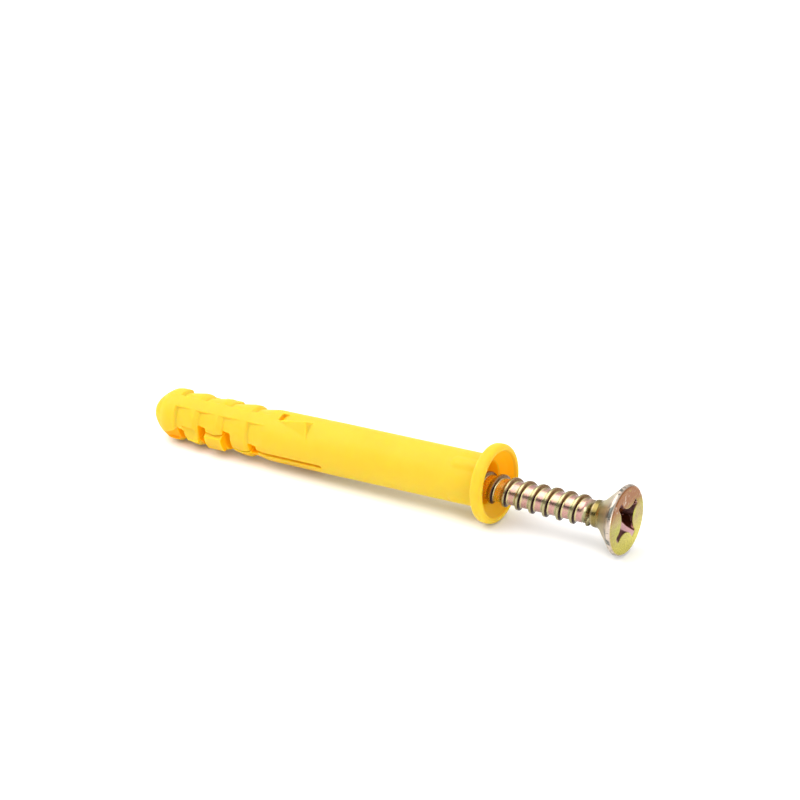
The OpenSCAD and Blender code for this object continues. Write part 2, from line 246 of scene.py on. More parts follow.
# Surfaces: scales of the noise in cells per metre, roughness as (least, most) and heights in metres
PLASTIC_CLOUDS = 140
PLASTIC_WAVES = 300
PLASTIC_GRAIN = 2600
PLASTIC_ROUGH = (0.45, 0.6)
PLASTIC_RELIEF = 0.00003
PLASTIC_SHINE = 0.15
PLASTIC_IOR = 1.5
SCATTER_SHARE = 0.8
SCATTER_COLOUR = (1.0, 0.4, 0.04)
SCATTER_LENGTH = 0.0020
ZINC_PATCHES = 330
ZINC_BLOTCHES = 900
ZINC_GRAIN = 2400
ZINC_ROUGH = (0.21, 0.34)
ZINC_RELIEF = 0.00002
RIM_DULLNESS = 0.14

# Colours of the yellow zinc, with painted shade on the thread's flanks that face the head and in the
# recess, painted glints in the recess, a painted reflection of the sleeve on the roots near it and painted
# light on the face's lower part. Bands are given as (way along in mm, colour).
# Painted shade on the thread's flank that faces the head, and the browner painted shade it turns to near
# the top
FLANK_PAINTED_SHADE = (0.05, 0.025, 0.025)
FLANK_SHADE_TOP = (0.34, 0.20, 0.10)
FLANK_OLIVE = (0.38, 0.36, 0.17)
ROOT_PINK = (0.62, 0.34, 0.30)
ROOT_OLIVE = (0.56, 0.44, 0.25)
# Painted reflection of the yellow sleeve on the roots near and inside its mouth
ROOT_SLEEVE_REFLECTION = (1.0, 0.92, 0.32)
THREAD_BANDS = [(0.0, FLANK_OLIVE), (0.14, (0.40, 0.26, 0.12)), (0.26, (0.42, 0.34, 0.17)),
                (0.34, (0.52, 0.48, 0.26)), (0.60, (0.46, 0.40, 0.20)), (0.70, FLANK_PAINTED_SHADE),
                (0.84, FLANK_PAINTED_SHADE), (0.92, (0.74, 0.64, 0.32)), (1.04, (0.68, 0.56, 0.31)),
                (1.16, ROOT_PINK), (1.80, ROOT_PINK), (2.05, (0.45, 0.43, 0.24)), (2.25, FLANK_OLIVE)]
HEAD_BANDS_END = 6
HEAD_BANDS = [(0.0, (0.60, 0.46, 0.34)), (0.3, (0.72, 0.60, 0.51)), (0.8, (0.74, 0.63, 0.50)),
              (1.2, (0.66, 0.56, 0.40)), (1.8, (0.58, 0.48, 0.29)), (3.2, (0.50, 0.44, 0.22)),
              (3.8, (0.36, 0.27, 0.08)), (4.2, (0.26, 0.20, 0.06)), (4.7, (0.28, 0.21, 0.07)),
              (5.0, (0.44, 0.36, 0.18)), (5.3, (0.52, 0.38, 0.22))]
FACE_LIME = (0.50, 0.47, 0.08)
FACE_OLIVE = (0.48, 0.36, 0.14)
FACE_PINK = (0.33, 0.125, 0.035)
# Painted light brightening the lower part of the head's face
FACE_LOW_PAINTED_LIGHT = (0.74, 0.66, 0.11)
FACE_SPECK = (0.66, 0.50, 0.38)
BAND_DARK = (0.17, 0.18, 0.16)
# Painted shade in the cross recess, and painted glints on its walls
RECESS_PAINTED_SHADE = (0.09, 0.025, 0.008)
RECESS_PAINTED_GLINT = (0.9, 0.55, 0.55)
SPECKLE_DARK = (0.6, 0.55, 0.5)
WHITE = (1, 1, 1)
BLACK = (0, 0, 0)

# Where the colours of the zinc change, as (start, end) in mm. A height is counted up from the screw's axis.
ROOT_EDGES = (1.06, 1.16), (1.85, 2.1)
FLANK_EDGES = (0.56, 0.64), (0.86, 0.94)
FLANK_TOP_HEIGHT = (1.0, 1.9)
# Where the painted reflection of the sleeve on the roots starts
SLEEVE_REFLECTION_START = (HEAD_REACH - 2.6, HEAD_REACH - 0.4)
THREAD_EDGE = (5.1, 5.6)
FACE_EDGE = (0.04, 0.16)
FACE_LOW_HEIGHT = (-0.5, -3.5)
FACE_PINK_HEIGHT = (0.8, 2.6)
FACE_SPECK_HEIGHT = (0.3, 2.0)
STREAK_EDGES = (0.1, 0.3), (0.9, 1.6)
RECESS_CONE = (3.95, 4.15)
RECESS_START = (0.05, 0.2)
RECESS_EDGE = (0.45, 0.25)
RIM_START = (0.05, 0.3)
CONE_END = (3.4, 3.8)

# The studio: strength of its lower and upper walls, and the direction of a dark gap that the screw mirrors
WORLD_LOW, WORLD_HIGH = 0.70 * GAIN, 1.07 * GAIN
DARK_GAP = (-0.4686, -0.780, 0.4147)
DARK_GAP_EDGE = (0.88, 0.965)
DARK_GAP_STRENGTH = 0.03
WALL_HEIGHTS = (0.45, 0.8)
KEY_PLACE, KEY_SIZE, KEY_WATTS = (-0.22, -0.15, 0.42), (0.58, 0.50), 1.85 * GAIN
FILL_PLACE, FILL_SIZE, FILL_WATTS = (0.40, -0.25, 0.12), (0.12, 0.24), 0.5 * GAIN
FLOOR_SIZE = 6
FLOOR_HEIGHT = -0.00002
FLOOR_COLOUR = (0.93, 0.93, 0.93)

# The camera: angles in degrees, its distance and the shift of its aim in mm, its focal length in pixels
AZIMUTH, ELEVATION = 30.9971, 24.5415
DISTANCE, FOCAL_PX = 602.57, 4153.23
AIM_RIGHT, AIM_UP = -14.5547, 12.2819
PICTURE_PX = 800
SENSOR = 36


def lie(tilt, start):
    """Matrix from (x, y, depth) in a piece to the row's frame: depth runs to -X, x to -Y and y up."""
    t = math.radians(tilt)
    a = Vector((-math.cos(t), 0, -math.sin(t)))
    n = Vector((-math.sin(t), 0, math.cos(t)))
    return Matrix((
        (0, n.x, a.x, start[0]),
        (-1, n.y, a.y, start[1]),
        (0, n.z, a.z, start[2]),
        (0, 0, 0, 1)))


# Distance fields: negative inside the piece, positive outside, in mm

def soft_max(a, b, k):
    """Larger of two fields, rounded over a distance of about k where they meet."""
    h = np.maximum(k - np.abs(a - b), 0) / k
    return np.maximum(a, b) + h * h * k * 0.25


def soft_min(a, b, k):
    return -soft_max(-a, -b, k)


def rounded_box(u, v, u0, u1, v0, v1, r=0.0):
    """Distance to a rectangle with rounded corners."""
    qu = np.abs(u - (u0 + u1) / 2) - (u1 - u0) / 2 + r
    qv = np.abs(v - (v0 + v1) / 2) - (v1 - v0) / 2 + r
    return np.hypot(np.maximum(qu, 0), np.maximum(qv, 0)) + np.minimum(np.maximum(qu, qv), 0) - r


def turned(x, y, degrees):
    """Coordinates along two axes that are turned by an angle."""
    c, s = math.cos(math.radians(degrees)), math.sin(math.radians(degrees))
    return x * c + y * s, -x * s + y * c


class Profile:
    """Distance to a closed outline in (depth, radius), softened a little, as a table to look up."""

    def __init__(self, points, soft, step=0.04, d_range=(-3.0, 63.0), r_max=8.0):
        self.d0, self.r0, self.step = d_range[0], -0.6, step
        d = np.arange(d_range[0], d_range[1] + step, step)
        r = np.arange(self.r0, r_max + step, step)
        self.f = self.softened(self.distances(points, d, r), max(1, int(round(soft / step))))

    @staticmethod
    def distances(points, d, r):
        """Signed distance from each (d, r) to the outline and its mirror image across the axis."""
        pts = np.array(points, float)
        pts = np.vstack([pts, pts[::-1] * [1, -1]])
        D, R = np.meshgrid(d, r, indexing="ij")
        best = np.full(D.shape, 1e9)
        inside = np.zeros(D.shape, bool)
        for (x0, y0), (x1, y1) in zip(pts, np.roll(pts, -1, axis=0)):
            ex, ey = x1 - x0, y1 - y0
            ll = ex * ex + ey * ey
            if ll < 1e-12:
                continue
            t = np.clip(((D - x0) * ex + (R - y0) * ey) / ll, 0, 1)
            best = np.minimum(best, (D - x0 - t * ex) ** 2 + (R - y0 - t * ey) ** 2)
            if y0 != y1:
                inside ^= ((y0 > R) != (y1 > R)) & (D < ex * (R - y0) / ey + x0)
        f = np.sqrt(best)
        f[inside] *= -1
        return f

    @staticmethod
    def softened(f, n):
        """The table, blurred along both of its axes over n steps."""
        w = np.exp(-0.5 * (np.arange(-3 * n, 3 * n + 1) / n) ** 2)
        w /= w.sum()
        rows, columns = f.shape
        g = np.pad(f, [(3 * n, 3 * n), (0, 0)], mode="edge")
        f = sum(w[i] * g[i:i + rows] for i in range(6 * n + 1))
        g = np.pad(f, [(0, 0), (3 * n, 3 * n)], mode="edge")
        return sum(w[i] * g[:, i:i + columns] for i in range(6 * n + 1))

    def __call__(self, d, r):
        u = np.clip((d - self.d0) / self.step, 0, self.f.shape[0] - 1.001)
        v = np.clip((r - self.r0) / self.step, 0, self.f.shape[1] - 1.001)
        i, j = u.astype(np.int32), v.astype(np.int32)
        u, v = u - i, v - j
        f = self.f
        return (f[i, j] * (1 - u) * (1 - v) + f[i + 1, j] * u * (1 - v)
                + f[i, j + 1] * (1 - u) * v + f[i + 1, j + 1] * u * v)


def arc(depth, radius, size, start, end, count=10):
    """Points of an arc about (depth, radius). An angle of 0 points away from the axis, 90 along it."""
    return [(depth + size * math.sin(math.radians(a)), radius + size * math.cos(math.radians(a)))
            for a in np.linspace(start, end, count)]


def sleeve_profile():
    """Outline of the collar, barrel, teeth and nose."""
    rim = COLLAR_R - COLLAR_EDGE_R
    pts = [(0, 0), (0, rim - 0.01)]
    pts += arc(COLLAR_EDGE_R, rim, COLLAR_EDGE_R, -90, 0)
    pts += arc(COLLAR_THICKNESS - COLLAR_EDGE_R, rim, COLLAR_EDGE_R, 0, 90)
    pts += [(COLLAR_THICKNESS, BARREL_R), (DRAFT_START, BARREL_R)]
    pts += [(FACES[3] - TOOTH_PITCH + TOOTH_LAND, TOOTH_R)]
    for i in (3, 2, 1, 0):
        pts += [(FACES[i], TOOTH_R - TOOTH_DEPTH),
                (FACES[i] + FACE_FOOT, TOOTH_R - TOOTH_DEPTH + FACE_FOOT_HEIGHT),
                (FACES[i] + CREST_SETBACKS[i], TOOTH_R)]
        if i:
            pts += [(FACES[i] + TOOTH_LAND, TOOTH_R)]
    for s in np.linspace(DOME_LENGTH * 1.25, 0, 36):
        full = TOOTH_R * math.sqrt(s / DOME_LENGTH)
        h = max(DOME_SHOULDER - abs(full - TOOTH_R), 0) / DOME_SHOULDER
        pts += [(DOME_TIP - s, min(full, TOOTH_R) - h * h * DOME_SHOULDER / 4)]
    return pts


def spine_profile():
    """Outline that the spines between the two rows of teeth fill."""
    end = DOME_START - SPINE_TO_DOME
    return [(SPINE_START, 0), (SPINE_START, TOOTH_R - SPINE_STEP), (SPINE_FULL, TOOTH_R - SPINE_SINK),
            (end, TOOTH_R - SPINE_SINK), (end, 0)]


def bore_profile():
    """Outline of the trumpet-shaped mouth and the bore."""
    pts = [(-2, 0), (-2, MOUTH_R + LIP_R), (0, MOUTH_R + LIP_R)]
    pts += arc(LIP_R, MOUTH_R + LIP_R, LIP_R, -90, -180, 8)
    return pts + BORE_STATIONS + [(BORE_STATIONS[-1][0], 0)]


def plane_through(a, b, c, inside):
    """Plane through three points, as a normal that points away from inside and its distance."""
    a, b, c = (np.array(p, float) for p in (a, b, c))
    n = np.cross(b - a, c - a)
    n /= np.linalg.norm(n)
    if n @ (np.array(inside) - a) > 0:
        n = -n
    return n, float(n @ a)


def fin_planes():
    """The planes round one fin, which stands on the side where x is positive."""
    ridge = BARREL_R + FIN_HEIGHT
    tangent = math.acos(BARREL_R / ridge)
    foot = (BARREL_R * math.cos(tangent), -BARREL_R * math.sin(tangent), FIN_END)
    top = (ridge, 0, FIN_END + FIN_SETBACK)
    rate = FIN_SETBACK / (ridge - foot[0])
    long = math.hypot(rate, 1)
    turn = math.radians(FIN_BACK)
    back = (BARREL_R * math.cos(turn), BARREL_R * math.sin(turn), FIN_END)
    root = (BARREL_R, 0, FIN_END + FIN_LENGTH)
    middle = (BARREL_R, 0, FIN_END + 1)
    return [plane_through(foot, root, top, middle), plane_through(top, root, back, middle),
            ((rate / long, 0.0, -1 / long), (rate * foot[0] - FIN_END) / long),
            ((-math.sin(tangent), -math.cos(tangent), 0.0), 0.0),
            ((0.0, 1.0, 0.0), FIN_HALF), ((-1.0, 0.0, 0.0), -FIN_HALF)]


class Sleeve:
    """Field of the whole sleeve. Its fin, notch, slit and tongues are those where x is positive."""

    def __init__(self):
        self.outer = Profile(sleeve_profile(), 0.07)
        self.spine = Profile(spine_profile(), 0.05)
        self.bore = Profile(bore_profile(), 0.06)
        self.fin_planes = fin_planes()

    def fin(self, x, y, d):
        f = None
        for n, c in self.fin_planes:
            g = n[0] * x + n[1] * y + n[2] * d - c
            f = g if f is None else soft_max(f, g, FIN_EDGES)
        return f

    def notch(self, x, y, d):
        """The cut behind a fin, deeper towards the nose."""
        mx, my = turned(x, y, NOTCH_TURN)
        w = (d - NOTCH_START) / NOTCH_LENGTH
        bed = BARREL_R + NOTCH_CLEAR - NOTCH_DEPTH * w - mx
        f = soft_max(bed, np.abs(my) - NOTCH_HALF_WIDTH, NOTCH_EDGES)
        return soft_max(f, np.maximum(NOTCH_START - d, d - (NOTCH_START + NOTCH_LENGTH)), NOTCH_EDGES)

    def rib(self, x, y, d, number):
        """One of the four ribs under the collar."""
        a = math.radians(SLIT_ROLL + RIB_TURN + 90 * number)
        middle = RIB_REACH - RIB_R
        rx, ry = middle * math.cos(a), middle * math.sin(a)
        f = np.sqrt((x - rx) ** 2 + (y - ry) ** 2 + np.maximum(d - RIB_END, 0) ** 2) - RIB_R
        return soft_max(f, RIB_START - d, 0.1)

    def slit(self, x, y, d):
        """The slit with its cavities, the gaps beside the tongues and the nose's groove."""
        end = FACES[3] - SLIT_TO_FACE
        f = rounded_box(y, d, -SLIT_WIDTH / 2, SLIT_WIDTH / 2, SLIT_END, end, SLIT_WIDTH / 2)
        for i, face in enumerate(FACES):
            low = LAST_LOW if i == 3 else CAVITY_LOW
            high = CAVITY_HIGH if i in (0, 3) else CAVITY_TOP
            start = face - CAVITY_LENGTH
            f = np.minimum(f, rounded_box(y, d, -low, high, start, face, CAVITY_CORNERS))
            if i < 3:
                low = -TONGUE_LOW if i % 2 == 0 else TONGUE_HIGH - TONGUE_GAP
                start, end = FACES[i + 1] - GAP_REACH, face - CAVITY_LENGTH + GAP_REACH
                f = np.minimum(f, rounded_box(y, d, low, low + TONGUE_GAP, start, end, GAP_CORNERS))
        start = FACES[0] - GROOVE_REACH
        groove = rounded_box(y, d, GROOVE_LOW, GROOVE_HIGH, start, GROOVE_END, GROOVE_CORNERS)
        groove = soft_max(groove, TOOTH_R - GROOVE_DEPTH - x, GROOVE_EDGES)
        slanted = (y - GROOVE_TOP + GROOVE_SLOPE * (d - FACES[0])) * 0.9
        groove = soft_max(groove, slanted, 0.1)
        return np.minimum(soft_max(f, -x, HIDDEN_CUT), groove)

    def tongues(self, x, y, d, rise):
        """The first tongue's filling, the cut of its slanted facet and the tongue that stands proud."""
        px, py = turned(x, y, FACET_TURN)
        middle = FACES[1] + FACET_MIDDLE + FACET_SLANT * (y - FACET_HEIGHT)
        block = soft_max(px - FACET_R, py - FACET_EDGE, FACET_EDGES)
        block = soft_max(block, -(y + TONGUE_LOW - TONGUE_GAP / 2), HIDDEN_CUT)
        block = soft_max(block, np.abs(d - middle) - FACET_HALF, FACET_ENDS)
        block = soft_max(block, TONGUE_ROOT - x, HIDDEN_CUT)
        cut = soft_max(-(px - FACET_R), py - FACET_EDGE, FACET_CUT_EDGES)
        cut = soft_max(cut, np.abs(d - middle) - FACET_CUT_HALF, FACET_ENDS)
        cut = soft_max(cut, TONGUE_ROOT - x, HIDDEN_CUT)
        r = np.hypot(x, y)
        half_width = TONGUE_HIGH - TONGUE_GAP / 2
        proud = soft_max(r - (TOOTH_R + rise), np.abs(y) - half_width, TONGUE_EDGES)
        proud = soft_max(proud, np.abs(d - (FACES[2] + TONGUE_HALF)) - TONGUE_HALF, TONGUE_EDGES)
        proud = soft_max(proud, TONGUE_ROOT - x, HIDDEN_CUT)
        return block, cut, proud

    def __call__(self, x, y, d):
        lift = np.clip((d - LIFT_START) / LIFT_LENGTH, 0, 1)
        y = y - NOSE_LIFT * lift * lift * (3 - 2 * lift)
        r = np.hypot(x, y)
        f = self.outer(d, r)
        fx, fy = turned(x, y, FIN_ROLL)
        sx, sy = turned(x, y, SLIT_ROLL)
        beside = np.where(fx > 0, fy, -fy)
        sides = np.maximum(beside - SPINE_FAR, -SPINE_NEAR - beside)
        f = soft_min(f, soft_max(self.spine(d, r), sides, SPINE_EDGES), SPINE_JOIN)
        fin = np.minimum(self.fin(fx, fy, d), self.fin(-fx, -fy, d))
        f = soft_min(f, soft_max(fin, FIN_ROOT_R - r, 0.1), FIN_JOIN)
        for number in range(4):
            f = soft_min(f, self.rib(x, y, d, number), RIB_JOIN)
        for side, rise in ((1, TONGUE_RISE), (-1, TONGUE_RISE_FAR)):
            block, cut, proud = self.tongues(side * sx, side * sy, d, rise)
            f = soft_min(f, np.minimum(block, proud), TONGUE_JOIN)
            f = soft_max(f, -cut, TONGUE_JOIN)
        for side in (1, -1):
            f = soft_max(f, -self.slit(side * sx, side * sy, d), OPENING_EDGES)
            f = soft_max(f, -self.notch(side * fx, side * fy, d), OPENING_EDGES)
        return soft_max(f, -self.bore(d, r), BORE_EDGES)


class Head:
    """Field of the screw's head and neck, with the cross recess."""

    def __init__(self):
        flat = HEAD_R - HEAD_EDGE_R
        cone_end = HEAD_BAND + HEAD_R - NECK_R
        pts = [(0, 0), (0, flat)] + arc(HEAD_EDGE_R, flat, HEAD_EDGE_R, -90, 0)
        pts += [(HEAD_BAND, HEAD_R), (cone_end - NECK_FILLET, NECK_R + NECK_FILLET),
                (cone_end + NECK_STEP, NECK_R + 0.02), (NECK_END, NECK_R),
                (NECK_END + NECK_STEP, CORE_R + 0.02), (NECK_END + NECK_STEP, 0)]
        self.body = Profile(pts, 0.05, 0.03, (-2.0, 7.0), 6.5)

    def __call__(self, x, y, d):
        r = np.hypot(x, y)
        u, v = turned(x, y, RECESS_ROLL)
        u, v = np.abs(u), np.abs(v)
        place = WING_WIDTH / 2 + BLEND_R - 0.05
        cut = np.minimum(u, v) - WING_WIDTH / 2
        round_part = BLEND_R - np.hypot(u - place, v - place)
        cut = np.minimum(cut, soft_max(np.maximum(u, v) - (place - 0.05), round_part, RECESS_EDGES))
        cut = soft_max(cut, (r - RECESS_SPAN / 2 + RECESS_SLOPE * d) * RECESS_SLOPE_SCALE, WING_END_EDGES)
        cut = soft_max(cut, d - RECESS_DEPTH, RECESS_FLOOR_EDGES)
        return soft_max(self.body(d, r), -cut, RECESS_EDGES)


# Meshes

def surface_net(field, xs, ys, zs):
    """Closed quad mesh of the field's zero surface on a grid."""
    X, Y, Z = np.meshgrid(xs, ys, zs, indexing="ij")
    F = field(X.ravel(), Y.ravel(), Z.ravel()).reshape(X.shape).astype(np.float64)
    F[F == 0] = 1e-9
    neg = F < 0
    n = [s - 1 for s in F.shape]
    corners = [(a, b, c) for a in (0, 1) for b in (0, 1) for c in (0, 1)]
    count = np.zeros(n, np.int8)
    for a, b, c in corners:
        count += neg[a:a + n[0], b:b + n[1], c:c + n[2]]
    active = np.argwhere((count > 0) & (count < 8))
    index = np.full(n, -1, np.int64)
    index[tuple(active.T)] = np.arange(len(active))
    verts = crossing_means(F, active, corners, (np.asarray(xs), np.asarray(ys), np.asarray(zs)))
    quads = []
    for axis in range(3):
        lo = [slice(None)] * 3
        hi = [slice(None)] * 3
        lo[axis], hi[axis] = slice(0, -1), slice(1, None)
        a, b = neg[tuple(lo)], neg[tuple(hi)]
        quads.append(quads_across(a & ~b, axis, index, F.shape))
        quads.append(quads_across(~a & b, axis, index, F.shape)[:, ::-1])
    return verts, np.vstack(quads)


def crossing_means(F, active, corners, axes):
    """For each active cell, the mean of the points where its edges cross the zero surface."""
    total = np.zeros((len(active), 3))
    hits = np.zeros(len(active))
    for p in corners:
        for axis in range(3):
            if p[axis]:
                continue
            q = list(p)
            q[axis] = 1
            ia, ib = active + p, active + q
            fa, fb = F[tuple(ia.T)], F[tuple(ib.T)]
            hit = (fa < 0) != (fb < 0)
            t = np.where(hit, fa / np.where(hit, fa - fb, 1), 0)
            for k in range(3):
                a, b = axes[k][ia[:, k]], axes[k][ib[:, k]]
                total[:, k] += np.where(hit, a + t * (b - a), 0)
            hits += hit
    return total / hits[:, None]


def quads_across(crossed, axis, index, shape):
    """One quad round each crossed grid edge along an axis."""
    e = np.argwhere(crossed)
    u, v = (axis + 1) % 3, (axis + 2) % 3
    e = e[(e[:, u] > 0) & (e[:, v] > 0) & (e[:, u] < shape[u] - 1) & (e[:, v] < shape[v] - 1)]
    ring = []
    for du, dv in ((0, 0), (-1, 0), (-1, -1), (0, -1)):
        g = e.copy()
        g[:, u] += du
        g[:, v] += dv
        ring.append(index[tuple(g.T)])
    return np.stack(ring, axis=1)


def gradient(field, p, h=0.01):
    g = np.empty_like(p)
    for k in range(3):
        a, b = p.copy(), p.copy()
        a[:, k] += h
        b[:, k] -= h
        g[:, k] = (field(*a.T) - field(*b.T)) / (2 * h)
    return g


def settle(field, p, steps=3, most=0.04):
    """Moves points onto the field's zero surface."""
    for _ in range(steps):
        g = gradient(field, p)
        n2 = np.maximum((g * g).sum(1), 0.05)
        step = (field(*p.T) / n2)[:, None] * g
        length = np.maximum(np.linalg.norm(step, axis=1), 1e-9)
        p = p - step * np.minimum(1, most / length)[:, None]
    return p


def shade_smooth(mesh):
    mesh.polygons.foreach_set("use_smooth", np.ones(len(mesh.polygons), bool))


def count_triangles(mesh):
    return sum(len(f.vertices) - 2 for f in mesh.polygons)


def new_mesh(name, verts, faces):
    """Object with a mesh. Its faces are lists of vertex numbers, or rows of an array."""
    me = bpy.data.meshes.new(name)
    me.vertices.add(len(verts))
    me.vertices.foreach_set("co", np.asarray(verts, np.float32).ravel())
    sizes = np.array([len(f) for f in faces], np.int32)
    flat = np.concatenate([np.asarray(f, np.int32) for f in faces])
    me.loops.add(len(flat))
    me.loops.foreach_set("vertex_index", flat)
    me.polygons.add(len(sizes))
    me.polygons.foreach_set("loop_start", np.concatenate([[0], np.cumsum(sizes)[:-1]]).astype(np.int32))
    me.update(calc_edges=True)
    me.validate()
    shade_smooth(me)
    obj = bpy.data.objects.new(name, me)
    scene.collection.objects.link(obj)
    return obj


def coords(obj):
    p = np.empty(len(obj.data.vertices) * 3)
    obj.data.vertices.foreach_get("co", p)
    return p.reshape(-1, 3)


def apply_modifiers(obj):
    bpy.context.view_layer.update()
    deps = bpy.context.evaluated_depsgraph_get()
    me = bpy.data.meshes.new_from_object(obj.evaluated_get(deps))
    obj.modifiers.clear()
    old = obj.data
    obj.data = me
    bpy.data.meshes.remove(old)


def field_object(name, field, xs, ys, zs, triangles_wanted, matrix):
    """Mesh of a field, thinned to a number of triangles. The field itself gives its points and normals."""
    verts, quads = surface_net(field, xs, ys, zs)
    obj = new_mesh(name, settle(field, verts), quads)
    triangles = 2 * len(quads)
    if triangles > triangles_wanted:
        obj.modifiers.new("thin", "DECIMATE").ratio = triangles_wanted / triangles
        apply_modifiers(obj)
        p = settle(field, coords(obj), 2, 0.02)
        obj.data.vertices.foreach_set("co", p.astype(np.float32).ravel())
        obj.data.update()
    g = gradient(field, coords(obj), 0.02)
    g /= np.maximum(np.linalg.norm(g, axis=1), 1e-9)[:, None]
    shade_smooth(obj.data)
    obj.data.transform(matrix)
    turn = np.array(matrix.to_3x3())
    obj.data.normals_split_custom_set_from_vertices((g @ turn.T).tolist())
    print(name, "triangles", count_triangles(obj.data))
    return obj


def spaced(*stretches):
    """Grid lines along stretches of (start, end, spacing)."""
    out = [np.linspace(a, b, max(2, int(round((b - a) / s)) + 1))[:-1] for a, b, s in stretches]
    return np.concatenate(out + [[stretches[-1][1]]])


def thread_mesh():
    """Core and thread as one helical sheet, closed at the point and inside the neck."""
    offsets, heights = np.array(THREAD_SECTION).T
    top = SCREW_LENGTH - NECK_END + THREAD_UNDER_NECK
    steps = int((top - THREAD_START - PITCH) / (PITCH / STEPS_PER_TURN))
    i = np.arange(steps + 1)
    s = THREAD_START + i[:, None] * PITCH / STEPS_PER_TURN + offsets[None, :]
    a = 2 * np.pi * i / STEPS_PER_TURN + math.radians(THREAD_TURN)
    point = TIP_R + (CORE_R - TIP_R) * np.sin(np.pi / 2 * np.minimum(s, TIP_LENGTH) / TIP_LENGTH)
    root = np.where(s >= TIP_LENGTH, CORE_R, point)
    crest = (THREAD_R - CORE_R) * np.minimum(1, FIRST_THREAD + s / TIP_LENGTH)
    crest = crest * np.clip((top - RUN_OUT_END - s) / RUN_OUT, 0.0, 1)
    r = root + heights[None, :] * crest
    x, y = r * np.cos(a)[:, None], r * np.sin(a)[:, None]
    verts = np.stack([x, y, SCREW_LENGTH - s], axis=2).reshape(-1, 3)
    width, m, n = len(offsets), STEPS_PER_TURN, steps

    def corner(i, j):
        return (i + m) * width if j == width else i * width + j

    cells = [(k, j) for k in range(n) for j in range(width - 1)] + [(k, width - 1) for k in range(n - m)]
    faces = [(corner(k, j), corner(k + 1, j), corner(k + 1, j + 1), corner(k, j + 1)) for k, j in cells]
    tip = len(verts)
    end = tip + 1
    end_depth = SCREW_LENGTH - THREAD_START - n * PITCH / m - PITCH * 0.5
    verts = np.vstack([verts, [0, 0, SCREW_LENGTH], [0, 0, end_depth]])
    loop = [corner(k, 0) for k in range(m + 1)] + [corner(0, j) for j in range(width - 1, 0, -1)]
    faces += [(tip, v, u) for u, v in zip(loop, loop[1:] + loop[:1])]
    loop = [corner(k, width - 1) for k in range(n - m, n + 1)]
    loop += [corner(n, j) for j in range(width - 2, -1, -1)]
    faces += [(end, u, v) for u, v in zip(loop, loop[1:] + loop[:1])]
    return verts, faces


def make_sleeve():
    across = spaced((*SLEEVE_ACROSS, SLEEVE_SPACING))
    depths = spaced((*COLLAR_STRETCH, SLEEVE_SPACING), (*BARREL_STRETCH, BARREL_SPACING),
                    (*TEETH_STRETCH, SLEEVE_SPACING))
    obj = field_object("sleeve_moulding", Sleeve(), across, across, depths, SLEEVE_TRIANGLES, sleeve_matrix)
    obj.data.transform(Matrix.Scale(MM, 4))
    return obj


def make_screw():
    across = spaced((*HEAD_ACROSS, HEAD_SPACING))
    depths = spaced((*HEAD_STRETCH, HEAD_SPACING))
    obj = field_object("screw_head", Head(), across, across, depths, HEAD_TRIANGLES, Matrix.Identity(4))
    shank = new_mesh("screw_shank", *thread_mesh())
    join = obj.modifiers.new("join", "BOOLEAN")
    join.operation = "UNION"
    join.solver = "MANIFOLD"
    join.object = shank
    apply_modifiers(obj)
    bpy.data.objects.remove(shank)
    obj.name = "screw_steel"
    shade_smooth(obj.data)
    obj.data.transform(Matrix.Scale(MM, 4) @ screw_matrix)
    print("screw triangles", count_triangles(obj.data))
    return obj


sleeve_matrix = lie(SLEEVE_TILT, MOUTH)
screw_drop = Matrix.Translation((0, -SCREW_DROP, 0))
screw_lean = Matrix.Rotation(math.radians(-SCREW_LEAN), 4, "X")
screw_matrix = sleeve_matrix @ screw_drop @ screw_lean @ Matrix.Translation((0, 0, -HEAD_REACH))

sleeve = make_sleeve()
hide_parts("sleeve")
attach(sleeve, "root")

screw = make_screw()
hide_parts("screw")
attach(screw, "root")


# Materials

